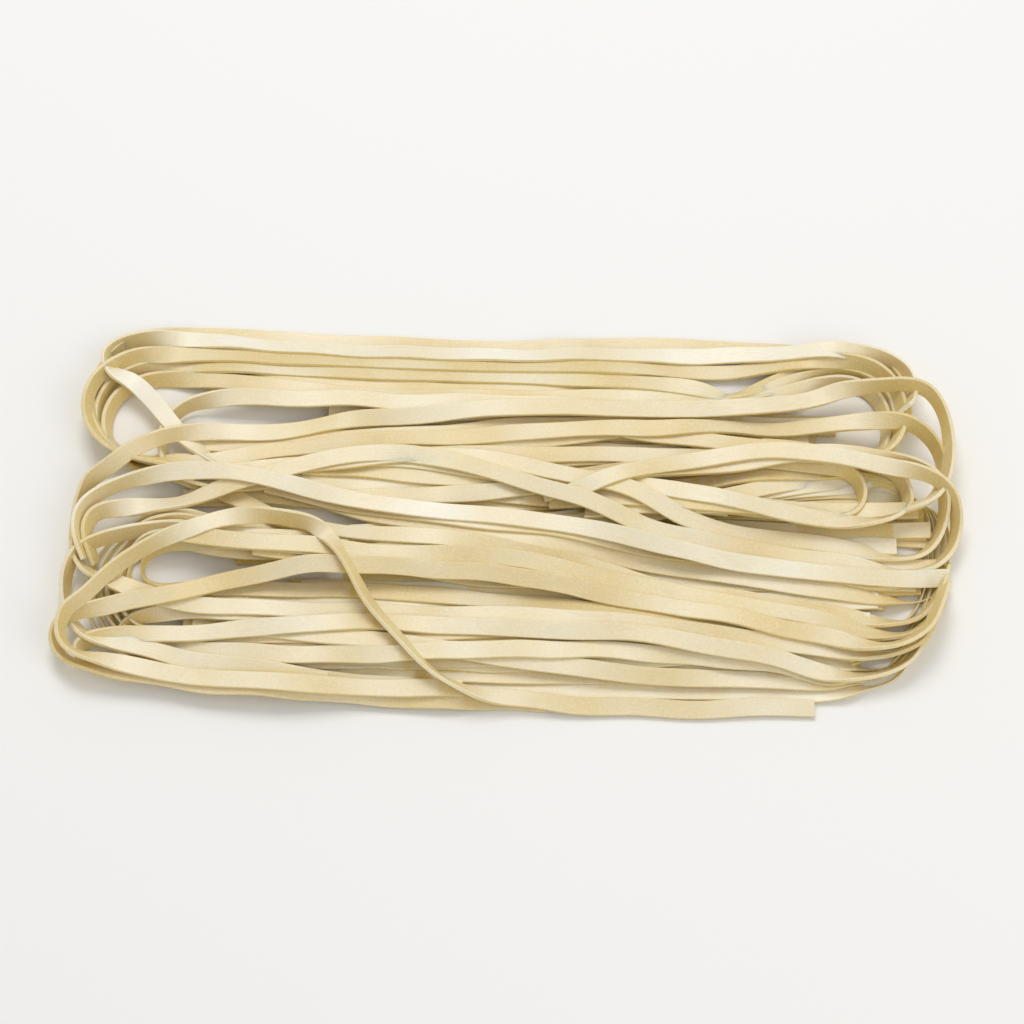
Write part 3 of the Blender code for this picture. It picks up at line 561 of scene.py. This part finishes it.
# %% The ribbon tree
def ribbon_tree():
    """Geometry Nodes tree: lines of edges become closed noodle ribbons."""
    tree = bpy.data.node_groups.new("noodle ribbon", "GeometryNodeTree")
    face = tree.interface
    face.new_socket("Geometry", in_out="INPUT", socket_type="NodeSocketGeometry")
    for name, value in (("Width", WIDTH*MM), ("Thickness", THICK*MM), ("Corner radius", 0.2*MM),
                        ("Cup depth", 0.1*MM), ("Unevenness", 0.12*MM), ("Unevenness size", 5*MM),
                        ("Crisp angle", math.radians(25))):
        face.new_socket(name, in_out="INPUT", socket_type="NodeSocketFloat").default_value = value
    face.new_socket("Dough", in_out="INPUT", socket_type="NodeSocketMaterial")
    face.new_socket("Geometry", in_out="OUTPUT", socket_type="NodeSocketGeometry")
    given = add_node(tree, "NodeGroupInput").outputs

    # The cut end: a rectangle, its corners rounded, its long sides divided and cupped. Rounding makes two
    # points of each corner, and of these eight the numbers 3 and 7 start a long side.
    end = add_node(tree, "GeometryNodeCurvePrimitiveQuadrilateral",
                   {"Width": given["Width"], "Height": given["Thickness"]})
    end = add_node(tree, "GeometryNodeFilletCurve",
                   {"Curve": end.outputs[0], "Count": 1, "Radius": given["Corner radius"]}, mode="POLY")
    place = add_node(tree, "GeometryNodeInputPosition").outputs[0]
    apart = add_node(tree, "ShaderNodeSeparateXYZ", {0: place}).outputs
    index = add_node(tree, "GeometryNodeInputIndex").outputs[0]
    nth = maths(tree, "MODULO", index, 4.0)
    starts_long_side = maths(tree, "COMPARE", nth, 3.0, 0.1)
    cuts = maths(tree, "MULTIPLY", starts_long_side, 3.0)
    end = add_node(tree, "GeometryNodeSubdivideCurve", {"Curve": end.outputs[0], "Cuts": cuts})
    end = add_node(tree, "GeometryNodeStoreNamedAttribute",
                   {"Geometry": end.outputs[0], "Name": "across", "Value": apart[0]},
                   data_type="FLOAT", domain="POINT")
    off = maths(tree, "DIVIDE", apart[0], given["Width"])
    off = maths(tree, "MULTIPLY", off, off)
    off = maths(tree, "MULTIPLY", off, given["Cup depth"])
    off = maths(tree, "MULTIPLY", off, 4.0)   # the full depth at half the width from the middle
    cup = add_node(tree, "ShaderNodeCombineXYZ", {1: off}).outputs[0]
    end = add_node(tree, "GeometryNodeSetPosition", {"Geometry": end.outputs[0], "Offset": cup})

    # The sweep along the lines
    line = add_node(tree, "GeometryNodeMeshToCurve", {"Mesh": given["Geometry"]})
    wide = add_node(tree, "GeometryNodeInputNamedAttribute", {"Name": "wide_way"}, data_type="FLOAT_VECTOR")
    line = add_node(tree, "GeometryNodeSetCurveNormal",
                    {"Curve": line.outputs[0], "Normal": wide.outputs[0]}, mode="FREE")
    swell = add_node(tree, "GeometryNodeInputNamedAttribute", {"Name": "swell"}, data_type="FLOAT")
    swept = add_node(tree, "GeometryNodeCurveToMesh",
                     {"Curve": line.outputs[0], "Profile Curve": end.outputs[0],
                      "Scale": swell.outputs[0], "Fill Caps": True})

    # A little unevenness on the skin, seeded by place
    rate = maths(tree, "DIVIDE", 1.0, given["Unevenness size"])
    push = add_node(tree, "ShaderNodeTexNoise", {"Vector": place, "Scale": rate, "Detail": 2.0}).outputs[1]
    push = add_node(tree, "ShaderNodeVectorMath", {0: push, 1: (0.5, 0.5, 0.5)},
                    operation="SUBTRACT").outputs[0]
    push = add_node(tree, "ShaderNodeVectorMath", {0: push, "Scale": given["Unevenness"]},
                    operation="SCALE").outputs[0]
    skin = add_node(tree, "GeometryNodeSetPosition", {"Geometry": swept.outputs[0], "Offset": push})

    # Smooth faces, with the corners left crisp as the cutter leaves them
    skin = add_node(tree, "GeometryNodeSetShadeSmooth", {"Geometry": skin.outputs[0]})
    angle = add_node(tree, "GeometryNodeInputMeshEdgeAngle").outputs[0]
    crisp = maths(tree, "GREATER_THAN", angle, given["Crisp angle"])
    skin = add_node(tree, "GeometryNodeSetShadeSmooth",
                    {"Geometry": skin.outputs[0], "Selection": crisp, "Shade Smooth": False}, domain="EDGE")
    skin = add_node(tree, "GeometryNodeRealizeInstances", {0: skin.outputs[0]})
    skin = add_node(tree, "GeometryNodeSetMaterial",
                    {"Geometry": skin.outputs[0], "Material": given["Dough"]})
    add_node(tree, "NodeGroupOutput", {0: skin.outputs[0]})
    return tree


tree = ribbon_tree()
print("ribbon tree has", len(tree.nodes), "nodes")

# %% [markdown]
# ## The dough
# The ribbons are dried wheat dough: cream-coloured, matt with a soft sheen where the roller pressed it,
# and a little translucent, so that light which enters a thin edge comes out warm. Flour leaves pale
# dust, and the roller leaves fine lines along the ribbon. Lower ribbons and faces that stand on edge are
# painted ochre: painted shade, for the warm light that gathers between the ribbons.

# %% Colours
def linear(code):
    """An sRGB hex colour as linear red, green, blue and alpha."""
    parts = [int(code[i:i+2], 16)/255 for i in (0, 2, 4)]
    return tuple(c/12.92 if c <= 0.04045 else ((c+0.055)/1.055)**2.4 for c in parts)+(1.0,)


CREAM = linear("FBF4E1")
WARM_CREAM = linear("E5CF97")
# Ochre is painted shade, for steep faces and lower ribbons
PAINTED_SHADE_OCHRE = linear("E2C972")
FLOUR = linear("FBF6E8")

# %% The dough material
def dough_material():
    """Dried wheat dough: cream, satin and slightly translucent, with roller lines, flour and painted ochre
    shade.
    """
    material = bpy.data.materials.new("dried wheat dough")
    material.use_nodes = True
    tree = material.node_tree
    tree.nodes.clear()
    place = add_node(tree, "ShaderNodeTexCoord").outputs["Object"]
    tone = add_node(tree, "ShaderNodeAttribute", attribute_name="tone").outputs["Fac"]
    # depth below the top of the pile, which drives the painted shade
    painted_depth_shade = add_node(tree, "ShaderNodeAttribute", attribute_name="painted_depth_shade").outputs["Fac"]
    along = add_node(tree, "ShaderNodeAttribute", attribute_name="along").outputs["Fac"]
    across = add_node(tree, "ShaderNodeAttribute", attribute_name="across").outputs["Fac"]

    # Slow patches, 20 mm across, and the ribbon's own tone
    patch = patches(tree, place, 20, 2.0)
    patch = maths(tree, "MULTIPLY", patch, 0.5)
    share = maths(tree, "MULTIPLY_ADD", tone, 0.7, patch, use_clamp=True)
    colour = blend(tree, share, CREAM, WARM_CREAM)

    # Painted shade: upper faces stay pale, while lower ribbons and faces from 26 degrees off level on turn
    # ochre, the most from 70 degrees on, for the warm light that gathers between the ribbons
    facing = add_node(tree, "ShaderNodeTexCoord").outputs["Normal"]
    facing = add_node(tree, "ShaderNodeSeparateXYZ", {0: facing}).outputs[2]
    painted_wall_shade = mapped(tree, facing, (0.9, 0.35), (0.0, 0.7))
    painted_golden_shade = maths(tree, "MAXIMUM", painted_wall_shade, painted_depth_shade)
    colour = blend(tree, painted_golden_shade, colour, PAINTED_SHADE_OCHRE)

    # Roller lines: 0.5 mm apart across the ribbon, 30 mm long, and others on each ribbon
    run = maths(tree, "MULTIPLY", along, 1/(30*MM))
    over = maths(tree, "MULTIPLY", across, 1/(0.5*MM))
    own = maths(tree, "MULTIPLY", tone, 97.0)
    lines = add_node(tree, "ShaderNodeCombineXYZ", {0: run, 1: over, 2: own}).outputs[0]
    lines = add_node(tree, "ShaderNodeTexNoise", {"Vector": lines, "Scale": 1.0, "Detail": 1.0}).outputs[0]

    # Flour: specks about 0.7 mm across, drawn coarser than real flour so that they show
    specks = patches(tree, place, 0.7, 3.0)
    dust = mapped(tree, specks, (0.52, 0.78), (0.0, 0.35))
    colour = blend(tree, dust, colour, FLOUR)
    streak = mapped(tree, lines, (0.3, 0.7), (0.955, 1.03))
    colour = add_node(tree, "ShaderNodeVectorMath", {0: colour, "Scale": streak},
                      operation="SCALE").outputs[0]

    # Lines and flour leave a fine relief, and flour is rougher
    relief = maths(tree, "MULTIPLY_ADD", lines, 0.6, specks)
    bump = add_node(tree, "ShaderNodeBump",
                    {"Height": relief, "Strength": 0.25, "Distance": 0.12*MM}).outputs[0]
    rough = mapped(tree, specks, (0.0, 1.0), (0.32, 0.48))
    shader = add_node(tree, "ShaderNodeBsdfPrincipled",
                      {"Base Color": colour, "Roughness": rough, "IOR": 1.5, "Normal": bump,
                       "Subsurface Weight": 0.3, "Subsurface Radius": (1.0, 0.7, 0.35),
                       "Subsurface Scale": 1.2*MM})
    add_node(tree, "ShaderNodeOutputMaterial", {"Surface": shader.outputs[0]})
    return material


dough = dough_material()
print("material", dough.name)

# %% [markdown]
# ## Ribbons become pieces
# The strands are shared out over a few pieces, each under 200,000 triangles. Each piece starts as its
# bare lines, goes through the tree, and is kept as a plain mesh.

# %% Lines with their attributes
# Painted shade on lower ribbons grows with their depth below the top of the pile:
PAINTED_SHADE_FROM = 1.5      # a ribbon this far below the top still has its own colour
PAINTED_SHADE_FULL = 11.0     # below this it has the deepest
TONE_WAVE = 0.25     # how far the tone changes along a ribbon, beside 1 from ribbon to ribbon


def line_object(name, group, rng):
    """One object whose edges are the middles of a group of ribbons, with what the tree reads."""
    places, ways, swells, tones, painted_depth_shades, runs, edges = [], [], [], [], [], [], []
    for strand, points, side, normal in group:
        points, fit = give_way(points, side) if strand.startswith(GIVING) else (points, 1.0)
        points, wide, swell = enliven(points, side, normal, rng)
        first = sum(len(p) for p in places)
        edges += [(first+i, first+i+1) for i in range(len(points)-1)]
        s = np.arange(len(points))*STEP
        top = pile.height[pile.cells(points[:, :2])]
        places.append(points*MM)
        ways.append(wide)
        swells.append(swell*fit)
        tones.append(rng.uniform(0, 1)+TONE_WAVE*slow_wave(s, rng))
        # painted shade: the further a ribbon lies below the top of the pile, the more ochre
        painted_depth_shades.append(np.clip((top-points[:, 2]-PAINTED_SHADE_FROM)/(PAINTED_SHADE_FULL-PAINTED_SHADE_FROM), 0, 1))
        runs.append(s*MM)
    mesh = bpy.data.meshes.new(name)
    mesh.from_pydata(np.vstack(places).tolist(), edges, [])
    for key, kind, values in (("wide_way", "FLOAT_VECTOR", ways), ("swell", "FLOAT", swells),
                              ("tone", "FLOAT", tones), ("painted_depth_shade", "FLOAT", painted_depth_shades), ("along", "FLOAT", runs)):
        data = mesh.attributes.new(key, kind, "POINT").data
        data.foreach_set("vector" if kind == "FLOAT_VECTOR" else "value",
                         np.concatenate(values).astype(np.float32).ravel())
    lines = bpy.data.objects.new(name, mesh)
    bpy.context.scene.collection.objects.link(lines)
    return lines


# %% Lines through the tree
def swept(lines):
    """Runs the ribbon tree on an object of lines and leaves a plain closed mesh in it."""
    grow = lines.modifiers.new("ribbons", "NODES")
    grow.node_group = tree
    for item in tree.interface.items_tree:
        if item.in_out == "INPUT" and item.name == "Dough":
            grow[item.identifier] = dough
    depsgraph = bpy.context.evaluated_depsgraph_get()
    mesh = bpy.data.meshes.new_from_object(lines.evaluated_get(depsgraph))
    mesh.name = lines.name
    lines.modifiers.remove(grow)
    lines.data = mesh
    return lines


GROUPS = (
    ("near_coil", ("row_", "hidden_loop", "hidden_a", "hidden_b", "hidden_d", "hidden_i", "hidden_j",
                   "flat_low", "left_arc", "mid_low", "tip_loop")),
    ("far_coil", ("hidden_c", "hidden_e", "hidden_f", "hidden_g", "hidden_h", "stub", "second_far",
                  "third_far", "inner_far", "outer_far", "rim_far", "top_far")),
    ("top_loops", ("long_loop", "small_ring", "ring", "wide_top", "stray")),
)
pieces, taken = [], 0
for name, starts in GROUPS:
    group = [r for r in ribbons if r[0].startswith(starts)]
    taken += len(group)
    pieces.append(swept(line_object(name, group, rng)))
assert taken == len(ribbons)   # no ribbon is left out or taken twice
for layer in range(LAYERS):
    group = [r for r in rows if r[0].startswith(f"low_{layer}")]
    pieces.append(swept(line_object(f"bottom_layer_{layer+1}", group, rng)))
for piece in pieces:
    print(piece.name, "triangles", sum(len(p.vertices)-2 for p in piece.data.polygons))

# %% [markdown]
# ## In place of the solid
# The pieces are moved together so that their box stands over the middle of the solid's box, on the same
# table, and take the solid's place.

# %% Fit and attach
places = np.array([v.co for piece in pieces for v in piece.data.vertices])
low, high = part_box(NODE)
middle = (places.min(0)+places.max(0))/2
move = Vector(((low.x+high.x)/2-middle[0], (low.y+high.y)/2-middle[1], low.z-places[:, 2].min()))
for piece in pieces:
    piece.data.transform(Matrix.Translation(move))
    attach(piece, "root")
    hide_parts(NODE)
print("moved in mm", [round(c/MM, 2) for c in move])

# %% [markdown]
# ## Floor, light and camera
# A pale floor and soft light from large panels show a matt cream food well: the light has to wrap round
# the ribbons, but still leave shade in the gaps. The camera looks down at the hank as the photographer
# did, from a little over 800 mm, through a longer lens so that the hank fills the picture.

# %% Floor
def floor_material():
    """Painted board: pale, matt and plain."""
    material = bpy.data.materials.new("painted board")
    material.use_nodes = True
    shader = material.node_tree.nodes["Principled BSDF"]
    shader.inputs["Base Color"].default_value = linear("F7F6F4")
    shader.inputs["Roughness"].default_value = 0.8
    return material


HALF_FLOOR = 3.0     # in m
corners = [(x*HALF_FLOOR, y*HALF_FLOOR, 0.0) for x, y in ((-1, -1), (1, -1), (1, 1), (-1, 1))]
mesh = bpy.data.meshes.new("floor")
mesh.from_pydata(corners, [], [(0, 1, 2, 3)])
floor = bpy.data.objects.new("floor", mesh)
floor.data.materials.append(floor_material())
bpy.context.scene.collection.objects.link(floor)

# %% Lights
def panel(name, place, size, power, colour):
    """A square light panel that faces the hank: its place and size in m, and its power in W."""
    light = bpy.data.lights.new(name, "AREA")
    light.size = size
    light.energy = power
    light.color = colour
    lamp = bpy.data.objects.new(name, light)
    lamp.location = place
    lamp.rotation_euler = (-Vector(place)).to_track_quat("-Z", "Y").to_euler()
    bpy.context.scene.collection.objects.link(lamp)


panel("key", (-0.12, 0.6, 1.15), 0.55, 6.4, (1.0, 1.0, 0.99))
panel("fill", (0.75, -0.45, 0.85), 0.9, 3.0, (1.0, 1.0, 1.0))
world = bpy.data.worlds.new("studio")
world.use_nodes = True
world.node_tree.nodes["Background"].inputs["Color"].default_value = (1.0, 1.0, 1.0, 1.0)
world.node_tree.nodes["Background"].inputs["Strength"].default_value = 0.54
bpy.context.scene.world = world
bpy.context.scene.view_settings.view_transform = "Standard"

# %% Camera
EYE = Vector((-3.97, -321.1, 745.0))*MM   # the photographer's place over the laid ribbons
AIM = 6*MM           # height above the table that the camera looks at
LEVEL = Vector((0.99956, 0.02967, 0.0))   # the picture's own rightward direction
FILL = 0.88          # share of the picture's width that the hank takes

target = Vector(((low.x+high.x)/2, (low.y+high.y)/2, AIM))
ahead = (target-(EYE+move)).normalized()
right = (LEVEL-LEVEL.dot(ahead)*ahead).normalized()
up = right.cross(ahead)
camera = bpy.data.objects.new("camera", bpy.data.cameras.new("camera"))
turn = Matrix((right, up, -ahead)).transposed()
camera.matrix_world = Matrix.Translation(EYE+move) @ turn.to_4x4()
distance = (target-(EYE+move)).length
camera.data.lens = camera.data.sensor_width*distance*FILL/(high.x-low.x)
camera.data.clip_start = 0.05
bpy.context.scene.collection.objects.link(camera)
bpy.context.scene.camera = camera
print("camera at", round(distance/MM), "mm, lens", round(camera.data.lens, 1))
